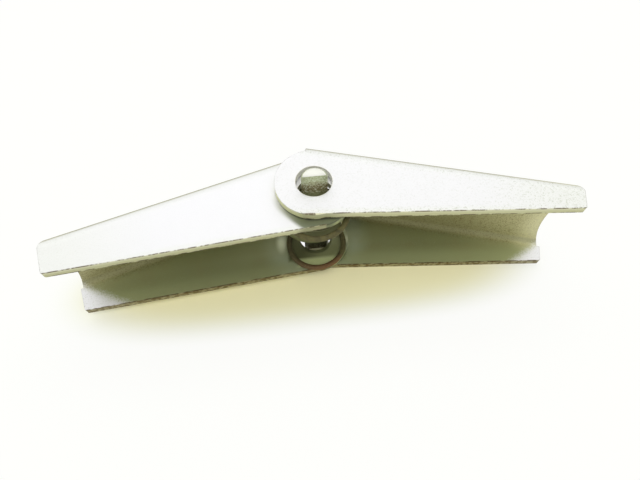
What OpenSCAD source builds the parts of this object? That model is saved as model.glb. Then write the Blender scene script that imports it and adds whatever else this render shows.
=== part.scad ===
// Spring toggle: two channel wings on a trunnion nut, sprung open.
// The trunnion (hinge) axis is Z, the bolt axis is Y, and the wings reach out along X.
// The origin is the centre of the nut. The bolt comes in from the -Y side, where the wings fold to.
// All lengths are in millimetres and all angles in degrees.

/* [Wings] */
// Thickness of the zinc-plated sheet
sheet_t = 1.05; // [0.9:0.05:1.2]
// Hinge hole to the tip, along the bearing edge of a wing
wing_reach = 34.7; // [30:0.1:40]
// Angle between the two bearing edges when the wings are open
open_angle = 170; // [164:1:176]
// Angle between the web and the bearing edge, which thins a wing towards its tip
web_taper = 11.25; // [9:0.25:13]
// Hinge hole to the bearing edge
bearing_depth = 5.05; // [4.8:0.05:5.1]
// Radius of the round ears on the outer wing
outer_ear_r = 5.25; // [5.1:0.05:5.4]
// Hinge hole to the outside of the web, on the outer wing
outer_back = 6.35; // [6.3:0.05:7]
// Height of the outer wing over its two flanges
outer_height = 15.9; // [15.5:0.1:18]
// Clearance between a flange of the outer wing and a flange of the inner one
nest_gap = 0.15; // [0.1:0.05:0.25]
// Inside radius of the bend between web and flange
bend_r = 0.9; // [0.5:0.1:1.2]
// Diameter of the hinge holes in the ears
hole_d = 4.9; // [4.9:0.05:5.1]
// Rounding of the far corner at each tip
tip_far_r = 2.0; // [0.8:0.1:2]
// Rounding of the near corner at each tip
tip_near_r = 0.3; // [0.3:0.05:0.8]
// Radius of the shallow hollow in the end of each web
tip_hollow_r = 18.4; // [15:0.1:25]

/* [Trunnion nut] */
// Radius of the tapped hole at the thread's crest, for a 5/16-18 bolt
thread_minor_r = 3.265; // [3.2:0.005:3.3]
// Outside diameter of the hub
hub_d = 8.8; // [8.6:0.1:9]
// Length of the hub along the bolt, on the near side of the hinge axis
hub_near = 2.6; // [2.2:0.1:2.8]
// Length of the hub along the bolt, on the far side of the hinge axis
hub_far = 0.4; // [0.1:0.05:0.4]
// Lean of the nut in its loose holes, with its upper end away from the bolt head
nut_lean = 3; // [0:0.5:3]
// Chamfer round both faces of the hub
hub_chamfer = 0.4; // [0.4:0.05:0.6]
// Radius of the half-round trunnion arms
arm_r = 1.75; // [1.6:0.05:1.75]
// Distance from the hub's centre to the arms' flat near face
arm_flat = 1.2; // [1.1:0.05:1.2]
// Thickness of the arms along the bolt
arm_t = 1.55; // [1.4:0.05:1.55]
// How far the upper arm stands out of the outer wing
arm_proud = 2.0; // [1:0.1:3]

/* [Spring] */
// Diameter of the spring wire
wire_d = 0.8; // [0.6:0.05:0.8]
// Mean radius of the two coils
coil_r = 4.15; // [4.1:0.05:4.2]
// Centre of the upper coil, on the near side of the hinge axis
upper_coil_set = 3.1; // [3.05:0.05:3.1]
// Centre of the lower coil, on the near side of the hinge axis
lower_coil_set = 2.1; // [1.8:0.05:2.6]
// Reach of the legs and the bridge along the webs
leg_reach = 8.0; // [6:0.1:12]

/* [Hidden] */
$fn = 96;

eps = 0.01;
// How far cutters reach past what they cut
clear = 3;
// How far two solids of one piece run into each other
overlap = 0.2;
// Running clearance of the spring and of the folded ears
fit_gap = 0.03;
ear_gap = 0.1;
// Each wing droops towards the bolt side by half of what is missing to a straight line.
wing_droop = (180 - open_angle) / 2;
web_angle = wing_droop + web_taper;
// Both wings are folded from the same blank, so the lower one of the nest has deeper flanges.
inner_height = outer_height - 2 * (sheet_t + nest_gap);
inner_back = outer_back + (outer_height - inner_height) / 2;
bend_outer_r = bend_r + sheet_t;
hole_r = hole_d / 2;
// The holes are loose on the arms, and the spring holds the inner wing this far to the near side.
inner_set = 1.1;
inner_ear_r = bearing_depth;
// Distance of each web's outside from its hinge hole, square to the web
outer_web_v = outer_back * cos(web_taper);
inner_web_v = inner_back * cos(web_taper);
// Length from the hinge hole to the tip, along the web
tip_u = wing_reach * cos(web_taper) + bearing_depth * sin(web_taper);
// Where the webs stop short of each other in the middle, so that their ends meet as the opening stop
stop_gap = 0.06;
outer_web_u = (stop_gap - (outer_web_v - sheet_t) * sin(web_angle)) / cos(web_angle);
inner_web_u = (stop_gap - (inner_web_v - sheet_t) * sin(web_angle)) / cos(web_angle);
// The flanges of the outer wing run on a little past its web.
lug_run = 0.7;
outer_heel_u = outer_web_u - lug_run;
bolt_notch_r = 4.5;
inner_ear_z = inner_height / 2 - sheet_t;
arm_axis_y = arm_t - arm_flat - arm_r;
arm_chamfer = 0.3;
arm_root_z = hub_d / 2 - 3 * overlap;
wire_r = wire_d / 2;
wire_sides = 10;
coil_steps = 36;
// Share of its turn over which each coil steps clear of its own leg
step_from = 0.7;
step_to = 0.96;
bend_steps = 5;
bridge_bend_r = 1.0;
// The outer wire of each coil runs just inside an ear, and the inner one lies against it.
leg_z = inner_ear_z - wire_r - fit_gap;
bridge_z = leg_z - wire_d - fit_gap;

function heading(a) = [cos(a), sin(a)];

// ---- sheet-metal wings ----

// Section of a channel: the web's outside is at x = 0 and the flanges run along +x.
module rounded_back(h, r, depth) {
    translate([r, -h / 2])
        square([depth - r, h]);
    translate([0, r - h / 2])
        square([r + eps, h - 2 * r]);
    for (side = [-1, 1])
        translate([r, side * (h / 2 - r)])
            circle(r);
}

module channel_section(h, depth) {
    difference() {
        rounded_back(h, bend_outer_r, depth);
        translate([sheet_t, 0])
            rounded_back(h - 2 * sheet_t, bend_r, depth);
    }
}

// A straight channel along +X, from start to tip_u, with its web's outside at y = web_v.
module channel_bar(h, web_v, start) {
    translate([start, web_v, 0])
        rotate([-90, 0, 0])
            rotate([0, 90, 0])
                linear_extrude(tip_u - start)
                    channel_section(h, web_v + bearing_depth + clear);
}

// What a corner loses when it is rounded: its two edges leave it at angles a and b.
module corner_relief(corner, a, b, r) {
    half = (b - a) / 2;
    run = r / tan(half);
    centre = corner + (r / sin(half)) * heading((a + b) / 2);
    difference() {
        polygon([
            corner - eps * heading((a + b) / 2),
            corner + run * heading(a),
            centre,
            corner + run * heading(b)
        ]);
        translate(centre)
            circle(r);
    }
}

// Plan of a wing, with its web along +X: a round ear, and a bearing edge at the taper angle.
module wing_outline(web_v, ear_r, heel_u) {
    near_tip = [tip_u, tip_u * tan(web_taper) - bearing_depth / cos(web_taper)];
    difference() {
        union() {
            circle(ear_r);
            rotate(web_taper)
                translate([0, -bearing_depth])
                    square([tip_u + clear, bearing_depth + web_v + 2 * clear]);
            translate([heel_u, 0])
                square([bearing_depth, web_v + clear]);
        }
        translate([tip_u, -bearing_depth])
            square([3 * clear, tip_u]);
        corner_relief([tip_u, web_v], 180, 270, tip_far_r);
        corner_relief(near_tip, 90, 180 + web_taper, tip_near_r);
    }
}

// The round part of the ears, behind the channel, is flat sheet.
module ears(h, ear_r, heel_u) {
    for (side = [-1, 1])
        translate([0, 0, side * (h - sheet_t) / 2])
            linear_extrude(sheet_t, center = true)
                intersection() {
                    circle(ear_r);
                    translate([-2 * ear_r, -ear_r])
                        square([2 * ear_r + heel_u + overlap, 2 * ear_r]);
                }
}

// The shallow hollow across the end of the web
module tip_hollow(h, web_v) {
    sag = tip_hollow_r - sqrt(pow(tip_hollow_r, 2) - pow(h / 2, 2));
    translate([tip_u - sag + tip_hollow_r, web_v + clear, 0])
        rotate([90, 0, 0])
            cylinder(r = tip_hollow_r, h = clear + bend_outer_r);
}

// A wing with its hinge hole on the Z axis and its web along +X
module flat_wing(h, web_v, ear_r, web_u, heel_u) {
    difference() {
        union() {
            intersection() {
                channel_bar(h, web_v, heel_u);
                linear_extrude(h + clear, center = true)
                    wing_outline(web_v, ear_r, heel_u);
            }
            ears(h, ear_r, heel_u);
        }
        cylinder(r = hole_r, h = h + clear, center = true);
        tip_hollow(h, web_v);
        translate([heel_u - clear, bearing_depth / 2, sheet_t - h / 2])
            cube([web_u - heel_u + clear, web_v, h - 2 * sheet_t]);
    }
}

// Room inside the bends of the outer wing, where the inner wing's ears are when both are folded
module folded_ear_room() {
    translate([inner_set, 0, 0])
        cylinder(r = inner_ear_r + ear_gap, h = inner_height + 2 * ear_gap, center = true);
}

// Half-round notches in the ends of the webs let the bolt through.
module bolt_notch() {
    rotate([-90, 0, 0])
        cylinder(r = bolt_notch_r, h = outer_back + inner_back);
}

module outer_wing() {
    color("lightgray")
        difference() {
            rotate(-web_angle)
                difference() {
                    flat_wing(outer_height, outer_web_v, outer_ear_r, outer_web_u, outer_heel_u);
                    folded_ear_room();
                }
            bolt_notch();
        }
}

module inner_wing() {
    color("gainsboro")
        difference() {
            translate([0, -inner_set, 0])
                mirror([1, 0, 0])
                    rotate(-web_angle)
                        flat_wing(inner_height, inner_web_v, inner_ear_r, inner_web_u, inner_web_u);
            bolt_notch();
        }
}

// ---- trunnion nut ----

module hub() {
    hub_r = hub_d / 2;
    hub_len = hub_near + hub_far;
    translate([0, -hub_near, 0])
        rotate([-90, 0, 0])
            rotate_extrude()
                polygon([
                    [0, 0],
                    [hub_r - hub_chamfer, 0],
                    [hub_r, hub_chamfer],
                    [hub_r, hub_len - hub_chamfer],
                    [hub_r - hub_chamfer, hub_len],
                    [0, hub_len]
                ]);
}

// A half-round arm from the hub's wall up to z = top, with a broken edge round its end
module arm(top) {
    reach = top - arm_root_z;
    intersection() {
        translate([0, arm_axis_y, arm_root_z]) {
            cylinder(r = arm_r, h = reach - arm_chamfer);
            translate([0, 0, reach - arm_chamfer])
                cylinder(r1 = arm_r, r2 = arm_r - arm_chamfer, h = arm_chamfer);
        }
        translate([-arm_r, -arm_flat, arm_root_z])
            cube([2 * arm_r, arm_t + eps, reach]);
    }
}

// The lower arm ends level with the outer wing, so that the toggle lies flat.
module trunnion_nut() {
    lower_reach = (outer_height / 2 - (arm_t - arm_flat) * sin(nut_lean)) / cos(nut_lean);
    color("rosybrown")
        rotate([-nut_lean, 0, 0])
            difference() {
                union() {
                    hub();
                    arm(outer_height / 2 + arm_proud);
                    mirror([0, 0, 1])
                        arm(lower_reach);
                }
                rotate([90, 0, 0])
                    cylinder(r = thread_minor_r, h = 4 * hub_d, center = true);
            }
}

// ---- torsion spring ----

// Wire centre's y where it lies on the inside of a web, at a distance x from the bolt axis
function on_web(web_v, x) = (web_v - sheet_t - wire_r - fit_gap) / cos(web_angle) - x * tan(web_angle);

leg_end = [leg_reach, on_web(outer_web_v, leg_reach)];
bridge_at = [-leg_reach, on_web(inner_web_v, leg_reach) - inner_set];

// Angle on the coil where the line from a point outside it touches its far side.
// side is 1 for a point to the right of the coil and -1 for one to the left.
function touch_angle(centre, p, side) =
    atan2(p[1] - centre[1], p[0] - centre[0]) + side * acos(coil_r / norm(p - centre));

// 0 before step_from, 1 after step_to, and smooth between
function eased(part) =
    let (t = max(0, min(1, (part - step_from) / (step_to - step_from))))
    t * t * (3 - 2 * t);

// Half of the wire, from the free leg's end, once round the arm and down to the middle of the bridge
function half_wire(set) =
    let (
        centre = [0, -set],
        from = touch_angle(centre, leg_end, 1),
        to = 360 + touch_angle(centre, bridge_at, -1),
        leave = centre + coil_r * heading(to),
        run = (bridge_at - leave) / norm(bridge_at - leave)
    )
    concat(
        [[leg_end[0], leg_end[1], leg_z]],
        [
            for (i = [0:coil_steps])
                let (
                    part = i / coil_steps,
                    p = centre + coil_r * heading(from + part * (to - from))
                )
                [p[0], p[1], leg_z + eased(part) * (bridge_z - leg_z)]
        ],
        [
            for (i = [0:bend_steps])
                let (
                    a = 90 * i / bend_steps,
                    p = bridge_at - bridge_bend_r * (1 - sin(a)) * run
                )
                [p[0], p[1], bridge_z - bridge_bend_r * (1 - cos(a))]
        ]
    );

function flipped(path) = [for (i = [len(path) - 1:-1:0]) [path[i][0], path[i][1], -path[i][2]]];

function unit(v) = v / norm(v);

// Direction of the wire at point i of a path
function run_at(path, i) = unit(path[min(i + 1, len(path) - 1)] - path[max(i - 1, 0)]);

// One sideways direction per point, carried along the path so that the tube doesn't twist
function carried(path) = [
    for (
        i = 0, side = unit(cross(run_at(path, 0), [0, 0, 1]));
        i < len(path);
        i = i + 1,
        side = i < len(path) ? unit(side - (side * run_at(path, i)) * run_at(path, i)) : side
    )
    side
];

// A round tube of radius r along a path
module tube(path, r) {
    sides = carried(path);
    rings = [
        for (i = [0:len(path) - 1])
            for (k = [0:wire_sides - 1])
                let (
                    a = 360 * k / wire_sides,
                    across = cross(run_at(path, i), sides[i])
                )
                path[i] + r * (cos(a) * sides[i] + sin(a) * across)
    ];
    last = (len(path) - 1) * wire_sides;
    walls = [
        for (i = [0:len(path) - 2])
            for (k = [0:wire_sides - 1])
                let (next = (k + 1) % wire_sides)
                [
                    i * wire_sides + k,
                    (i + 1) * wire_sides + k,
                    (i + 1) * wire_sides + next,
                    i * wire_sides + next
                ]
    ];
    start_cap = [for (k = [0:wire_sides - 1]) k];
    end_cap = [for (k = [wire_sides - 1:-1:0]) last + k];
    polyhedron(points = rings, faces = concat([start_cap], walls, [end_cap]), convexity = 6);
}

module torsion_spring() {
    color("sienna")
        tube(concat(half_wire(upper_coil_set), flipped(half_wire(lower_coil_set))), wire_r);
}

outer_wing();
inner_wing();
trunnion_nut();
torsion_spring();
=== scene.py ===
"""Spring toggle wing nut: its finishes, its spring wire and its tapped thread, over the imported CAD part.

The hinge axis is Z, the bolt axis is Y and the wings reach out along X. Lengths are in millimetres, also in
the materials. MM turns them into the metres of the row frame where a mesh, a lamp or the camera is made.
"""

import math
from dataclasses import dataclass
from functools import partial

import bmesh
import bpy
from mathutils import Matrix, Vector


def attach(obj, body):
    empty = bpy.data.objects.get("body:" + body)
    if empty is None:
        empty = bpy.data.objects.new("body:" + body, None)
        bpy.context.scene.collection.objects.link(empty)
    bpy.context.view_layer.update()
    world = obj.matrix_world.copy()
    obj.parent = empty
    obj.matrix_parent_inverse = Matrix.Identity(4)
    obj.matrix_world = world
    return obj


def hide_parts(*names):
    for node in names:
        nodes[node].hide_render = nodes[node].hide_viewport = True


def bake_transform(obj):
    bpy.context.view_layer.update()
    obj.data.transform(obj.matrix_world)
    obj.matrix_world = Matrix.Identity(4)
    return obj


MM = 0.001

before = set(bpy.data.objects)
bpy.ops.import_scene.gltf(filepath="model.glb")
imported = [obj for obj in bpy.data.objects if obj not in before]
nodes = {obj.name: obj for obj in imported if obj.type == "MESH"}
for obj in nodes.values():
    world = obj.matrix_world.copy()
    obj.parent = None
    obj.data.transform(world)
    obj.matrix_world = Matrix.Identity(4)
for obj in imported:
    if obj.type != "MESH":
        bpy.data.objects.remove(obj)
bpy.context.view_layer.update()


# ---- sizes of the CAD part that the finishes, the wire and the thread go by ----

SHEET_T = 1.05
FLANGE_BEND_R = 0.9 + SHEET_T
TAPER = math.radians(11.25)
DROOP = math.radians(5.0)
WEB_ANGLE = DROOP + TAPER
WING_REACH = 34.7
BEARING_DEPTH = 5.05
# From the hinge hole to the tip, along the web
TIP_U = WING_REACH * math.cos(TAPER) + BEARING_DEPTH * math.sin(TAPER)
EAR_R = 5.25
HOLE_R = 2.45
NEST_GAP = 0.15
OUTER_HEIGHT = 15.9
INNER_HEIGHT = OUTER_HEIGHT - 2 * (SHEET_T + NEST_GAP)
OUTER_BACK = 6.35
INNER_BACK = OUTER_BACK + (OUTER_HEIGHT - INNER_HEIGHT) / 2
# From the hinge hole to the outside of each web, square to it
OUTER_WEB_V = OUTER_BACK * math.cos(TAPER)
INNER_WEB_V = INNER_BACK * math.cos(TAPER)
# The spring holds the inner wing this far to the near side of the nut.
INNER_SET = 1.1
FIT_GAP = 0.03
ARM_PROUD = 2.0
ARM_END_Z = OUTER_HEIGHT / 2 + ARM_PROUD
FLOOR_Z = -OUTER_HEIGHT / 2


# ---- nodes and finishes ----


def colour(code):
    """An sRGB hex code as the linear colour that Blender's sockets take."""
    parts = [int(code[i : i + 2], 16) / 255 for i in (1, 3, 5)]
    linear = [p / 12.92 if p <= 0.04045 else ((p + 0.055) / 1.055) ** 2.4 for p in parts]
    return (*linear, 1.0)


def add_node(tree, kind, inputs=None, **settings):
    """Adds a node and returns its outputs. An input takes a link, a value or a hex colour."""
    node = tree.nodes.new(kind)
    for name, value in settings.items():
        setattr(node, name, value)
    for name, value in (inputs or {}).items():
        socket = node.inputs[name]
        if isinstance(value, bpy.types.NodeSocket):
            tree.links.new(value, socket)
        else:
            socket.default_value = colour(value) if isinstance(value, str) else value
    return node.outputs


class Finish:
    """A procedural material, laid on in coats of colour that fade in over ranges of a measure."""

    def __init__(self, name):
        self.material = bpy.data.materials.new(name)
        self.material.use_nodes = True
        tree = self.material.node_tree
        tree.nodes.clear()
        self.add = partial(add_node, tree)
        place = {0: self.add("ShaderNodeTexCoord")["Object"], "Scale": 1 / MM}
        # In millimetres, so that a noise scale of 1 has grains of about 1 mm
        self.place = self.add("ShaderNodeVectorMath", place, operation="SCALE")[0]
        self.x, self.y, self.z = self.add("ShaderNodeSeparateXYZ", {0: self.place})
        # Up or down from the middle, alike
        self.rise = self.add("ShaderNodeMath", {0: self.z}, operation="ABSOLUTE")[0]

    def combine(self, *parts, join="MULTIPLY"):
        """Joins numbers, measures and fades. A fade is a measure with where it is 0 and where it is 1."""
        joined = None
        for part in parts:
            if isinstance(part, tuple):
                fade = dict(zip(("Value", "From Min", "From Max"), part))
                part = self.add("ShaderNodeMapRange", fade, interpolation_type="SMOOTHSTEP")[0]
            if joined is not None:
                part = self.add("ShaderNodeMath", {0: joined, 1: part}, operation=join)[0]
            joined = part
        return joined

    def coats(self, base, *layers):
        """Lays coats over a base colour. Each is a hue and the parts whose product is its share."""
        for hue, *parts in layers:
            share = {"Factor": self.combine(*parts), "A": base, "B": hue}
            base = self.add("ShaderNodeMix", share, data_type="RGBA")["Result"]
        return base

    def out_from(self, centre, reach):
        """Place as seen along Z from a centre, counted in reaches each way."""
        shift = (-centre[0] / reach[0], -centre[1] / reach[1], 0.0)
        seen = {"Vector": self.place, "Location": shift, "Scale": (1 / reach[0], 1 / reach[1], 0.0)}
        return self.add("ShaderNodeMapping", seen)[0]

    def radius(self, place):
        """How far a place is from the Z axis."""
        level = self.add("ShaderNodeVectorMath", {0: place, 1: (1.0, 1.0, 0.0)}, operation="MULTIPLY")[0]
        return self.add("ShaderNodeVectorMath", {0: level}, operation="LENGTH")["Value"]

    def sharpness(self, rounding):
        """0 on a flat face, and more the more a rounding of this radius would take off."""
        rounded = self.add("ShaderNodeBevel", {"Radius": rounding * MM}, samples=6)[0]
        true = self.add("ShaderNodeNewGeometry")["Normal"]
        alike = self.add("ShaderNodeVectorMath", {0: rounded, 1: true}, operation="DOT_PRODUCT")["Value"]
        return self.combine(1.0, alike, join="SUBTRACT")

    def ended(self, shader):
        self.add("ShaderNodeOutputMaterial", {"Surface": shader})
        return self.material


# ---- zinc plate of the wings ----


@dataclass
class Wing:
    """A wing's sizes, and how its zinc has worn."""

    side: int  # 1 for the wing on the right, -1 for the one on the left
    hinge_y: float  # its hinge hole, from the nut's axis
    height: float
    web_v: float
    clean: str  # colour where it is rubbed clean
    specked: float  # share of dull specks on the outside
    lit_rubbed_from: float  # start of the lower flange's patch that is rubbed clean and painted lit, past the tip in line with the hole
    ear_shadow_share: float  # share of the painted shadow that the outer ear casts round the pin
    light_evened: float  # share of painted light at the channel's rear, which also darkens the bearing edge near the hinge and takes from the painted light along it
    pale_tip: float  # how much painted light the web takes towards its end


OUTER_WING = Wing(
    side=1,
    hinge_y=0.0,
    height=OUTER_HEIGHT,
    web_v=OUTER_WEB_V,
    clean="#e9e9ea",
    specked=0.65,
    lit_rubbed_from=0.9,
    ear_shadow_share=0.0,
    light_evened=0.15,
    pale_tip=0.8,
)
INNER_WING = Wing(
    side=-1,
    hinge_y=-INNER_SET,
    height=INNER_HEIGHT,
    web_v=INNER_WEB_V,
    clean="#ebebed",
    specked=0.1,
    lit_rubbed_from=-0.5,
    ear_shadow_share=0.95,
    light_evened=0.35,
    pale_tip=0.15,
)


class ZincPlate(Finish):
    """Electroplated zinc gone dull: silver with a faint yellow-green cast, finely speckled, with thin brown burrs.

    The outside is rubbed clean, and the channel is rougher and darker, partly as dull zinc and partly as painted
    shade, so that the eye reads it as deep. The specks gather towards the rims and the tip, as handling leaves
    them, and the rust sits on the sheared edges.
    """

    def __init__(self, name, wing):
        super().__init__(name)
        self.wing = wing
        self.top = wing.height / 2
        # The wing's own axes: u along the web and v across to it, both from its hinge hole
        turned = {
            "Vector": self.place,
            "Location": (wing.hinge_y * math.sin(WEB_ANGLE), -wing.hinge_y * math.cos(WEB_ANGLE), 0.0),
            "Rotation": (0.0, 0.0, WEB_ANGLE),
            "Scale": (wing.side, 1.0, 1.0),
        }
        own = self.add("ShaderNodeMapping", turned)[0]
        self.u, self.v, _ = self.add("ShaderNodeSeparateXYZ", {0: own})
        edgeward = {0: own, 1: (math.sin(TAPER), -math.cos(TAPER), 0.0)}
        # From the hinge hole towards the bearing edge, square to it
        self.to_edge = self.add("ShaderNodeVectorMath", edgeward, operation="DOT_PRODUCT")["Value"]
        self.from_hinge = self.radius(own)
        # The plate's crystals are far too fine to show, so they are drawn as grains of about 0.2 mm.
        grains = {"Vector": self.place, "Scale": 4.6, "Detail": 4.0, "Roughness": 0.8}
        self.grain = self.add("ShaderNodeTexNoise", grains)[0]

    def finished(self):
        """The whole finish, with its matt, pitted channel and its smoother outside."""
        wing = self.wing
        outside = self.combine(
            (self.rise, self.top - 0.6, self.top - 0.1),
            (self.v, wing.web_v - 0.6, wing.web_v - 0.1),
            join="MAXIMUM",
        )
        # The lower flange is rubbed clean at its tip and painted with the light from behind that passes the web's
        # end, up to a ragged slanting line.
        raggedness = self.combine(5.0, self.combine(self.grain, 0.5, join="SUBTRACT"))
        slant = self.combine(self.u, self.combine(1.35, self.to_edge), raggedness, join="ADD")
        lit_rubbed_from = TIP_U + wing.lit_rubbed_from
        rubbed_and_lit = self.combine((slant, lit_rubbed_from, lit_rubbed_from + 3.0), (self.z, 0.0, -2.0))
        base = self.coats(self.channel(rubbed_and_lit), (self.outside(), outside))
        smoothed = self.combine(0.2, self.combine(outside, rubbed_and_lit, join="MAXIMUM"))
        roughness = self.combine(0.6, smoothed, join="SUBTRACT")
        roughness = self.combine(self.combine(0.2, self.grain), roughness, join="ADD")
        rounded = self.add("ShaderNodeBevel", {"Radius": 0.1 * MM}, samples=6)[0]
        pits = {"Height": self.grain, "Strength": 0.6, "Distance": 0.03 * MM, "Normal": rounded}
        zinc = {
            "Base Color": self.edges(base),
            "Metallic": 1.0,
            "Roughness": roughness,
            "Normal": self.add("ShaderNodeBump", pits)[0],
        }
        return self.ended(self.add("ShaderNodeBsdfPrincipled", zinc)[0])

    def outside(self):
        """Rubbed clean, specked towards the rims and the tip, with a grey-green painted shadow round the outer
        ear.
        """
        wing = self.wing
        rims = self.combine(
            (self.v, wing.web_v - 2.6, wing.web_v - 0.4),
            (self.to_edge, BEARING_DEPTH - 1.05, BEARING_DEPTH - 0.05),
            (self.u, TIP_U - 16.0, TIP_U - 1.0),
            join="MAXIMUM",
        )
        handled = self.combine(rims, 0.25, join="ADD")
        # The outer ear's painted shadow is wider and darker on the side away from this wing's tip.
        width = self.combine(1.3, (self.x, -4.5, -0.5))
        from_ear_shadow = self.combine(self.radius(self.place), width, join="SUBTRACT")
        thick = self.combine(self.combine(0.45, (self.x, -5.0, -2.0)), 0.5, join="ADD")
        ear_shadow = self.combine(wing.ear_shadow_share, thick, (from_ear_shadow, EAR_R + 1.05, EAR_R + 0.15), (self.y, -0.5, -4.0))
        return self.coats(
            wing.clean,
            ("#9ba281", wing.specked, handled, (self.grain, 0.52, 0.68)),
            ("#e0e6cc", 0.2, rims),
            # Painted shadow of the outer ear on the inner wing's top
            ("#697151", ear_shadow),
        )

    def channel(self, rubbed_and_lit):
        """Dull and uneven and darker than the outside, partly as painted shade, with painted shade in the bends
        and under the coil, painted light and highlights round the coil and where the flanges shade it, and sandy
        towards the tip under painted light.
        """
        light_evened, pale_tip, web_v, tip = self.wing.light_evened, self.wing.pale_tip, self.wing.web_v, TIP_U
        aside = self.add("ShaderNodeMath", {0: self.x}, operation="ABSOLUTE")[0]
        past_coil = self.combine((aside, 4.0, 4.7), (self.y, -4.0, -5.0), join="MAXIMUM")
        coil_shade = self.combine(1.0, past_coil, join="SUBTRACT")
        lit_inside_front = self.combine((self.y, -4.0, -4.7), (self.y, -5.9, -5.5), (aside, 3.6, 2.4), join="MINIMUM")
        rear_light = self.combine(light_evened, (self.to_edge, 3.4, 0.8))
        wide = {"Vector": self.place, "Scale": 0.3, "Detail": 2.0, "Roughness": 0.5}
        clouds = self.add("ShaderNodeTexNoise", wide)[0]
        left_highlight = self.radius(self.out_from((-5.3, -1.3), (1.15, 2.3)))
        right_highlight = self.radius(self.out_from((4.75, -1.7), (0.6, 1.2)))
        bend_from, bend_to = FLANGE_BEND_R, FLANGE_BEND_R - 0.55
        bend_shade = self.combine(
            (self.v, web_v - bend_from, web_v - bend_to),
            (self.rise, self.top - bend_from, self.top - bend_to),
            join="MINIMUM",
        )
        return self.coats(
            # Darker than the outside: partly dull zinc and partly painted shade
            "#9a9e74",
            # Painted light near the ears, beside the coil, with wide brownish clouds and light grains all over
            ("#bac3aa", past_coil, (self.from_hinge, 9.5, 5.5)),
            ("#9c9268", 0.25, (clouds, 0.45, 0.7)),
            ("#c9cdb0", 0.3, (self.grain, 0.52, 0.68)),
            # Painted light away from the bearing edge, where the flanges shade the channel, most of all near the
            # hinge
            ("#c6c99f", rear_light),
            ("#cfd2ac", 0.6, rear_light, past_coil, (self.from_hinge, 17.0, 9.0)),
            # Along the bearing edge: darker near the hinge, the more so the more light the rear is painted with,
            # and painted light elsewhere
            ("#7b7f55", 0.7 * light_evened, (self.to_edge, 2.0, 4.0), (self.from_hinge, 26.0, 12.0)),
            ("#b9bf93", 0.75 - light_evened, (self.to_edge, 1.5, 3.8)),
            # Painted shade under the coil, and painted light just inside its front
            ("#686a48", 0.75, coil_shade, (self.x, 1.0, -2.5)),
            ("#dde4b2", lit_inside_front),
            # The web: sandy with old rust, with painted light that grows towards the tip and is brightest at its
            # end
            ("#bdb58a", 0.6, (self.v, web_v - 2.4, web_v - 1.3)),
            ("#e2dfb4", pale_tip, (self.u, tip - 15.0, tip - 1.0), (self.to_edge, 4.0, -1.0)),
            ("#76663f", 0.6, (self.grain, 0.5, 0.4), (self.v, web_v - 3.0, web_v - 1.6)),
            ("#f4f2cc", 0.62 * pale_tip, (self.u, tip - 5.5, tip - 2.0), (self.v, web_v - 4.0, web_v - 1.5)),
            # Painted highlights on the webs on both sides of the coil
            ("#fbffe8", (left_highlight, 1.0, 0.1)),
            ("#fbffe8", 0.6, (right_highlight, 1.0, 0.1)),
            # Painted shade in the bends, and as clean as the outside where the tip is rubbed and painted lit
            ("#6f7150", 0.4, bend_shade),
            (self.coats(self.wing.clean, ("#9ba281", 0.4, (self.grain, 0.54, 0.66))), rubbed_and_lit),
        )

    def edges(self, base):
        """Lighter on the sides of the ears, with a painted highlight on the upper hole's wall, and brown on the
        lower edges and along the burrs.
        """
        top, inner = self.top, self.top - SHEET_T
        rim = (self.from_hinge, EAR_R - 0.13, EAR_R - 0.05)
        ear_side = self.combine(rim, (self.u, 2.5, 0.5), (self.v, 4.0, 2.0))
        sheared = self.combine((self.to_edge, BEARING_DEPTH - 0.05, BEARING_DEPTH - 0.01))
        # A burr stands along each side of the sheet's sheared edge.
        outer_burr, inner_burr = (self.rise, top - 0.16, top - 0.04), (self.rise, inner + 0.23, inner + 0.09)
        burrs = self.combine(outer_burr, inner_burr, join="MAXIMUM")
        flecks = {"Vector": self.place, "Scale": 0.9, "Detail": 4.0, "Roughness": 0.7}
        broken = self.combine((self.add("ShaderNodeTexNoise", flecks)[0], 0.4, 0.56))
        blotches = {"Vector": self.place, "Scale": 1.7, "Detail": 4.0, "Roughness": 0.6}
        blotched = self.combine(0.4, (self.add("ShaderNodeTexNoise", blotches)[0], 0.4, 0.6))
        rusted = self.combine(blotched, 0.5, join="ADD")
        return self.coats(
            base,
            # Lighter on the side of the ear, and a painted highlight on the upper hole's wall
            ("#e2e3b8", ear_side, (self.rise, top - 0.04, top - 0.1)),
            ("#f2f2ea", (self.from_hinge, HOLE_R + 0.1, HOLE_R + 0.03), (self.z, 5.0, 6.0)),
            # The sheared bearing edge, rusted on the lower flange
            ("#d8d7b2", 0.85, sheared),
            ("#6f5e36", rusted, sheared, (self.z, 0.5, -0.5)),
            # Burrs, and a touch of brown on every corner
            ("#54432a", 0.8, broken, burrs, (self.to_edge, BEARING_DEPTH - 0.15, BEARING_DEPTH - 0.05)),
            ("#5d4a28", 0.25, broken, (self.sharpness(0.2), 0.01, 0.12)),
        )


# ---- nut, wire and floor finishes ----


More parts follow.
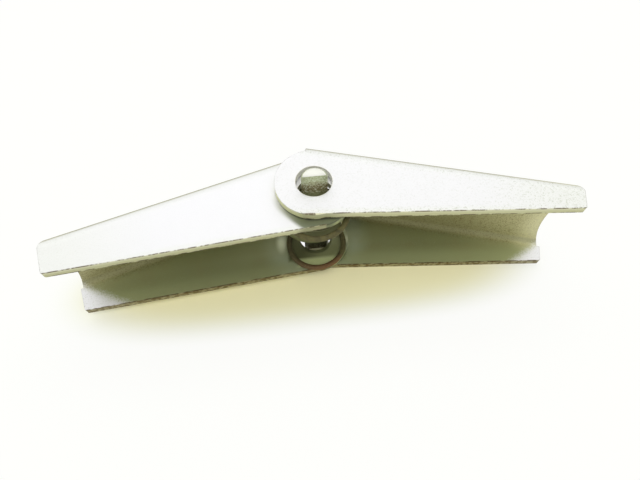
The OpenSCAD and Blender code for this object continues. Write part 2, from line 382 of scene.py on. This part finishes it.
def dull_nut():
    """Plated casting: clean silver on its end, grey-green and granular below, with painted light where its arms
    stand out of the ears and painted shade, brown, down inside them.

    The clean end reads as cut and handled, and the grain below as cast metal that nothing has touched.
    """
    m = Finish("dull_plated_nut")
    # The casting's grain is finer than shows, so it is drawn at about 0.25 mm.
    grains = {"Vector": m.place, "Scale": 4.0, "Detail": 5.0, "Roughness": 0.85}
    grain = m.add("ShaderNodeTexNoise", grains)[0]
    waves = {"Vector": m.place, "Scale": 1.3, "Detail": 3.0, "Roughness": 0.6}
    uneven = m.combine(m.add("ShaderNodeTexNoise", waves)[0], 0.5, join="SUBTRACT")
    # The colours meet at uneven heights.
    level = m.combine(m.rise, m.combine(2.0, uneven), join="ADD")
    bare = m.combine((level, 5.8, 7.0))
    base = m.coats(
        "#7d7f59",
        # Painted shade, brown, down inside the ears, and painted light on the arms above them
        ("#786e4a", (level, 6.2, 7.4)),
        ("#b2b994", (level, 7.6, 9.2)),
        ("#dbe2ca", 0.75, bare, (grain, 0.5, 0.6)),
        ("#57533a", 0.65, bare, (grain, 0.46, 0.36)),
        ("#eeeee6", (m.rise, ARM_END_Z - 0.09, ARM_END_Z - 0.03)),
        # Painted highlight along the corners
        ("#d9d8c2", 0.6, (m.sharpness(0.2), 0.02, 0.25)),
    )
    rounded = m.add("ShaderNodeBevel", {"Radius": 0.12 * MM}, samples=6)[0]
    cast = {"Height": grain, "Strength": 0.8, "Distance": 0.05 * MM, "Normal": rounded}
    bumped = m.add("ShaderNodeBump", cast)[0]
    metal = {"Base Color": base, "Metallic": 0.7, "Roughness": 0.55, "Normal": bumped}
    return m.ended(m.add("ShaderNodeBsdfPrincipled", metal)[0])


def rusty_wire():
    """Drawn spring wire under thin rust: tan-brown and matt, and red-brown round the front of the lower coil.

    Its dull, warm and pitted turns stand off from the silver plate round them.
    """
    m = Finish("rusty_spring_wire")
    # The rust's grain is finer than shows, so it is drawn at about 0.17 mm.
    grains = {"Vector": m.place, "Scale": 6.0, "Detail": 5.0, "Roughness": 0.8}
    grain = m.add("ShaderNodeTexNoise", grains)[0]
    patches = {"Vector": m.place, "Scale": 1.1, "Detail": 2.0, "Roughness": 0.6}
    patched = m.add("ShaderNodeTexNoise", patches)[0]
    lower = m.combine((m.z, 0.5, -0.5))
    base = m.coats(
        "#5f5a33",
        ("#4c4829", (patched, 0.35, 0.65)),
        ("#704b29", 0.75, lower, (m.y, -4.2, -5.6)),
        # Painted shade on the left side of the lower coil
        ("#4e472b", 0.7, lower, (m.x, 1.5, -3.5)),
        ("#a08a5c", 0.6, (grain, 0.56, 0.7)),
        ("#33271a", 0.6, (grain, 0.45, 0.3)),
    )
    bumped = m.add("ShaderNodeBump", {"Height": grain, "Strength": 0.9, "Distance": 0.05 * MM})[0]
    rust = {"Base Color": base, "Metallic": 0.25, "Roughness": 0.7, "Normal": bumped}
    return m.ended(m.add("ShaderNodeBsdfPrincipled", rust)[0])


def white_card():
    """Matt card with a painted cream shade in front of the toggle, and white further off.

    It also glows white as painted light on both sides of the nut's lower arm, inside the ear's hole, though the
    toggle shades the card there.
    """
    m = Finish("white_card")
    cream = m.out_from((-2.4, -6.0), (40.0, 10.0))
    along, across, _ = m.add("ShaderNodeSeparateXYZ", {0: cream})
    along = m.add("ShaderNodeMath", {0: along}, operation="ABSOLUTE")[0]
    # The painted cream shade is long with blunt ends, and this is 1 all round its rim.
    far = m.combine(m.combine(along, 4.0, join="POWER"), m.combine(across, across), join="ADD")
    # Painted light: the card glows white beside the lower arm, under the toggle
    beside_arm = m.combine((m.x, -1.3, -1.6), (m.x, 2.05, 2.2), join="MAXIMUM")
    lit_in_hole = m.combine((m.radius(m.place), HOLE_R + 0.15, HOLE_R + 0.05), beside_arm)
    white = m.combine(m.combine(0.85, (far, 0.15, 0.95)), lit_in_hole, join="MAXIMUM")
    rays = m.add("ShaderNodeLightPath")
    seen = (rays["Is Camera Ray"], rays["Is Glossy Ray"], rays["Is Transmission Ray"])
    white_seen = m.combine(white, m.combine(*seen, join="MAXIMUM"))
    # Painted shade: cream near the toggle, paler further off
    card = m.add("ShaderNodeBsdfDiffuse", {"Color": m.coats("#faf4c6", ("#f5f7e6", (far, 0.0, 0.75)))})[0]
    backdrop = m.add("ShaderNodeEmission", {"Color": "#ffffff", "Strength": 1.0})[0]
    return m.ended(m.add("ShaderNodeMixShader", {0: white_seen, 1: card, 2: backdrop})[0])


def paint(obj, material):
    obj.data.materials.clear()
    obj.data.materials.append(material)


paint(nodes["outer_wing"], ZincPlate("zinc_plate_outer", OUTER_WING).finished())
paint(nodes["inner_wing"], ZincPlate("zinc_plate_inner", INNER_WING).finished())
nut_finish = dull_nut()
wire_finish = rusty_wire()


# ---- sweeps ----


def shown(name, data):
    """Puts a mesh, a lamp or a camera in the scene."""
    obj = bpy.data.objects.new(name, data)
    bpy.context.scene.collection.objects.link(obj)
    return obj


def sweep_tree(name, inputs):
    """An empty geometry tree with these named inputs, and what they hand to its nodes."""
    tree = bpy.data.node_groups.new(name, "GeometryNodeTree")
    for socket, kind in inputs.items():
        tree.interface.new_socket(socket, in_out="INPUT", socket_type=f"NodeSocket{kind}")
    tree.interface.new_socket("Made", in_out="OUTPUT", socket_type="NodeSocketGeometry")
    return tree, add_node(tree, "NodeGroupInput")


def realized(tree, geometry, material):
    """Ends a tree with real geometry in its material."""
    real = add_node(tree, "GeometryNodeRealizeInstances", {0: geometry})[0]
    faced = add_node(tree, "GeometryNodeSetMaterial", {"Geometry": real, "Material": material})[0]
    add_node(tree, "NodeGroupOutput", {0: faced})
    return tree


def wire_tree():
    """Sweeps a round wire along a line and keeps the stretch between two of its points, so that stretches meet."""
    inputs = {
        "Path": "Geometry",
        "Wire radius": "Float",
        "Sides": "Int",
        "First point": "Int",
        "Last point": "Int",
        "Finish": "Material",
    }
    tree, given = sweep_tree("swept_wire", inputs)
    add = partial(add_node, tree)
    path = add("GeometryNodeMeshToCurve", {0: given["Path"]})[0]
    round_wire = {"Resolution": given["Sides"], "Radius": given["Wire radius"]}
    section = add("GeometryNodeCurvePrimitiveCircle", round_wire, mode="RADIUS")[0]
    sweep = {"Curve": path, "Profile Curve": section, "Fill Caps": True}
    swept = add("GeometryNodeCurveToMesh", sweep)[0]
    # The swept mesh has one ring of points for each point of the line, in order.
    corner = add("GeometryNodeInputIndex")[0]
    ring = add("FunctionNodeIntegerMath", {0: corner, 1: given["Sides"]}, operation="DIVIDE_FLOOR")[0]
    first = {"A": ring, "B": given["First point"]}
    last = {"A": ring, "B": given["Last point"]}
    before = add("FunctionNodeCompare", first, data_type="INT", operation="LESS_THAN")[0]
    after = add("FunctionNodeCompare", last, data_type="INT", operation="GREATER_THAN")[0]
    beyond = add("FunctionNodeBooleanMath", {0: before, 1: after}, operation="OR")[0]
    cut_off = {"Geometry": swept, "Selection": beyond}
    kept = add("GeometryNodeDeleteGeometry", cut_off, domain="POINT", mode="ALL")[0]
    return realized(tree, kept, given["Finish"])


def thread_tree():
    """Carries a section along a right-handed helix about Z, upright all the way."""
    inputs = {
        "Section": "Geometry",
        "Radius": "Float",
        "Rise": "Float",
        "Turns": "Float",
        "Steps": "Int",
        "Finish": "Material",
    }
    tree, given = sweep_tree("thread_helix", inputs)
    add = partial(add_node, tree)
    section = add("GeometryNodeMeshToCurve", {0: given["Section"]})[0]
    spiral = {
        "Resolution": given["Steps"],
        "Rotations": given["Turns"],
        "Start Radius": given["Radius"],
        "End Radius": given["Radius"],
        "Height": given["Rise"],
        "Reverse": True,
    }
    helix = add("GeometryNodeCurveSpiral", spiral)[0]
    upright = add("GeometryNodeSetCurveNormal", {0: helix}, mode="Z_UP")[0]
    sweep = {"Curve": upright, "Profile Curve": section, "Fill Caps": True}
    return realized(tree, add("GeometryNodeCurveToMesh", sweep)[0], given["Finish"])


def grown(name, points, closed, tree, inputs):
    """Runs a tree on a line of points and keeps what it makes as a plain mesh."""
    count = len(points)
    lines = [(i, (i + 1) % count) for i in range(count if closed else count - 1)]
    data = bpy.data.meshes.new(name)
    data.from_pydata([[MM * c for c in p] for p in points], lines, [])
    obj = shown(name, data)
    growth = obj.modifiers.new("growth", "NODES")
    growth.node_group = tree
    for socket, value in inputs.items():
        growth[tree.interface.items_tree[socket].identifier] = value
    graph = bpy.context.evaluated_depsgraph_get()
    made = bpy.data.meshes.new_from_object(obj.evaluated_get(graph))
    obj.modifiers.clear()
    obj.data = made
    made.shade_smooth()
    return obj


# ---- spring ----

WIRE_R = 0.4
WIRE_SIDES = 14
COIL_R = 4.15
COIL_STEPS = 96
UPPER_COIL_Y = -3.1
LOWER_COIL_Y = -2.1
# A coil starts just inside an ear of the inner wing, and ends one wire further in.
LEG_Z = INNER_HEIGHT / 2 - SHEET_T - WIRE_R - FIT_GAP
BRIDGE_Z = LEG_Z - 2 * WIRE_R - FIT_GAP
# It steps in over this part of its turn, past its own leg.
STEP_FROM, STEP_TO = 0.7, 0.96
# The legs' ends and the bridge lie on the webs, this far out.
LEG_REACH = 8.0
LEG_STEPS = 12
RUN_STEPS = 8
BRIDGE_BEND_R = 1.0
BRIDGE_BEND_STEPS = 8


def on_web(web_v):
    """The y of a wire that lies on the inside of a web, at the legs' reach."""
    return (web_v - SHEET_T - WIRE_R - FIT_GAP) / math.cos(WEB_ANGLE) - LEG_REACH * math.tan(WEB_ANGLE)


def on_circle(y, angle, z):
    return Vector((COIL_R * math.cos(angle), y + COIL_R * math.sin(angle), z))


def touch_angle(y, p, side):
    """Angle on the coil where a line from p touches it, anticlockwise of p for side 1 and clockwise for -1."""
    dx, dy = p.x, p.y - y
    return math.atan2(dy, dx) + side * math.acos(COIL_R / math.hypot(dx, dy))


def eased(value, low, high):
    t = min(max((value - low) / (high - low), 0.0), 1.0)
    return t * t * (3 - 2 * t)


def half_wire(y):
    """The wire from a leg's end round its coil to the middle of the bridge, and where each stretch begins."""
    leg_end = Vector((LEG_REACH, on_web(OUTER_WEB_V), 0))
    bridge = Vector((-LEG_REACH, on_web(INNER_WEB_V) - INNER_SET, 0))
    start = touch_angle(y, leg_end, 1)
    stop = 2 * math.pi + touch_angle(y, bridge, -1)
    enter = on_circle(y, start, 0)
    leave = on_circle(y, stop, 0)
    path = [leg_end.lerp(enter, i / LEG_STEPS) + Vector((0, 0, LEG_Z)) for i in range(LEG_STEPS)]
    coil_at = len(path)
    for i in range(COIL_STEPS + 1):
        part = i / COIL_STEPS
        z = LEG_Z + eased(part, STEP_FROM, STEP_TO) * (BRIDGE_Z - LEG_Z)
        path.append(on_circle(y, start + part * (stop - start), z))
    run_at = len(path) - 1
    run = (bridge - leave).normalized()
    corner = bridge - BRIDGE_BEND_R * run
    for i in range(1, RUN_STEPS):
        path.append(leave.lerp(corner, i / RUN_STEPS) + Vector((0, 0, BRIDGE_Z)))
    for i in range(BRIDGE_BEND_STEPS + 1):
        a = math.pi / 2 * i / BRIDGE_BEND_STEPS
        p = bridge - BRIDGE_BEND_R * (1 - math.sin(a)) * run
        path.append(Vector((p.x, p.y, BRIDGE_Z - BRIDGE_BEND_R * (1 - math.cos(a)))))
    path.append(bridge)
    return path, coil_at, run_at


def spring():
    """The whole wire, in stretches that meet end to end: coils on the nut, legs and bridge out to the wings."""
    tree = wire_tree()
    for name, coil_y, sign in (("upper", UPPER_COIL_Y, 1), ("lower", LOWER_COIL_Y, -1)):
        path, coil_at, run_at = half_wire(coil_y)
        path = [Vector((p.x, p.y, sign * p.z)) for p in path]
        pieces = []
        stretches = (("leg", 0, coil_at), ("coil", coil_at, run_at), ("bridge", run_at, len(path)))
        for stretch, first, last in stretches:
            wire = {
                "Wire radius": WIRE_R * MM,
                "Sides": WIRE_SIDES,
                "First point": first,
                "Last point": last,
                "Finish": wire_finish,
            }
            pieces.append(grown(f"spring_{stretch}_{name}", path, False, tree, wire))
        leg, coil, bridge = pieces
        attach(coil, "nut")
        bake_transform(leg)
        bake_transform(bridge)
        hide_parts("torsion_spring")


spring()


# ---- nut with its thread ----

# 5/16-18 coarse thread, with its crest as the CAD part's hole leaves it
PITCH = 1.411
MAJOR_R = 3.97
MINOR_R = 3.265
FLANK_ANGLE = math.radians(30)
TURN_STEPS = 48
# How far the groove starts inside the plain hole, so that it cuts clean through
GROOVE_CLEAR = 0.3
HUB_NEAR, HUB_FAR = 2.6, 0.4
NUT_LEAN = math.radians(3)


def groove():
    """A solid in the shape of the thread's groove, right-handed about the bolt axis, to cut out of the nut."""
    inside_r = MINOR_R - GROOVE_CLEAR
    root_half = PITCH / 16
    mouth_half = root_half + math.tan(FLANK_ANGLE) * (MAJOR_R - inside_r)
    section = (
        (inside_r - MINOR_R, -mouth_half, 0),
        (MAJOR_R - MINOR_R, -root_half, 0),
        (MAJOR_R - MINOR_R, root_half, 0),
        (inside_r - MINOR_R, mouth_half, 0),
    )
    first, last = -HUB_NEAR - 0.75 * PITCH, HUB_FAR + PITCH
    helix = {
        "Radius": MINOR_R * MM,
        "Rise": (last - first) * MM,
        "Turns": (last - first) / PITCH,
        "Steps": TURN_STEPS,
        "Finish": nut_finish,
    }
    cutter = grown("groove", section, True, thread_tree(), helix)
    along_bolt = Matrix.Rotation(math.radians(-90) - NUT_LEAN, 4, "X")
    cutter.data.transform(along_bolt @ Matrix.Translation((0, 0, first * MM)))
    return cutter


def joined(obj):
    """Merges points in one place and turns every face outward."""
    work = bmesh.new()
    work.from_mesh(obj.data)
    bmesh.ops.remove_doubles(work, verts=work.verts, dist=1e-7)
    bmesh.ops.recalc_face_normals(work, faces=work.faces)
    work.to_mesh(obj.data)
    work.free()


def threaded_nut():
    """The CAD nut, with its plain hole cut out to a real thread."""
    nut = shown("nut_with_thread", nodes["trunnion_nut"].data.copy())
    cutter = groove()
    joined(nut)
    joined(cutter)
    cut = nut.modifiers.new("thread", "BOOLEAN")
    cut.operation = "DIFFERENCE"
    cut.solver = "EXACT"
    cut.object = cutter
    graph = bpy.context.evaluated_depsgraph_get()
    made = bpy.data.meshes.new_from_object(nut.evaluated_get(graph))
    nut.modifiers.clear()
    nut.data = made
    bpy.data.objects.remove(cutter)
    made.shade_smooth()
    made.set_sharp_from_angle(angle=math.radians(35))
    paint(nut, nut_finish)
    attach(nut, "nut")
    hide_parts("trunnion_nut")


threaded_nut()


# ---- floor, light and camera ----


def floor(half):
    corners = [(x * half, y * half, FLOOR_Z) for x, y in ((-1, -1), (1, -1), (1, 1), (-1, 1))]
    data = bpy.data.meshes.new("floor")
    data.from_pydata([Vector(c) * MM for c in corners], [], [(0, 1, 2, 3)])
    plane = shown("floor", data)
    paint(plane, white_card())


def soft_box(name, place, size, power):
    """A weak, wide lamp that faces the toggle."""
    data = bpy.data.lights.new(name, "AREA")
    data.shape = "RECTANGLE"
    data.size, data.size_y = size[0] * MM, size[1] * MM
    data.energy = power
    lamp = shown(name, data)
    lamp.location = Vector(place) * MM
    lamp.rotation_euler = (-lamp.location).to_track_quat("-Z", "Y").to_euler()


def room_light(strength):
    """Most of the light comes evenly from all round, as in a pale room."""
    world = bpy.data.worlds.new("pale_room")
    world.use_nodes = True
    back = world.node_tree.nodes["Background"]
    back.inputs["Color"].default_value = colour("#fbfbf9")
    back.inputs["Strength"].default_value = strength
    bpy.context.scene.world = world


def close_camera(place, tilt, turn):
    """Close above the near side of the toggle, looking down past it."""
    data = bpy.data.cameras.new("close_camera")
    data.lens = 26.61
    data.sensor_width = 36.0
    data.clip_start = 2.0 * MM
    cam = shown("close_camera", data)
    cam.location = Vector(place) * MM
    cam.rotation_euler = (math.radians(tilt), 0.0, math.radians(turn))
    bpy.context.scene.camera = cam


floor(half=1200.0)
room_light(0.9)
soft_box("window", (10.0, 280.0, 340.0), (1300.0, 100.0), 0.48)
soft_box("back_wall", (0.0, 500.0, 120.0), (1200.0, 250.0), 0.28)
soft_box("overhead", (0.0, -120.0, 440.0), (500.0, 250.0), 0.42)
close_camera((-3.30, -36.77, 58.54), tilt=29.0, turn=-6.38)
bpy.context.scene.view_settings.view_transform = "Standard"
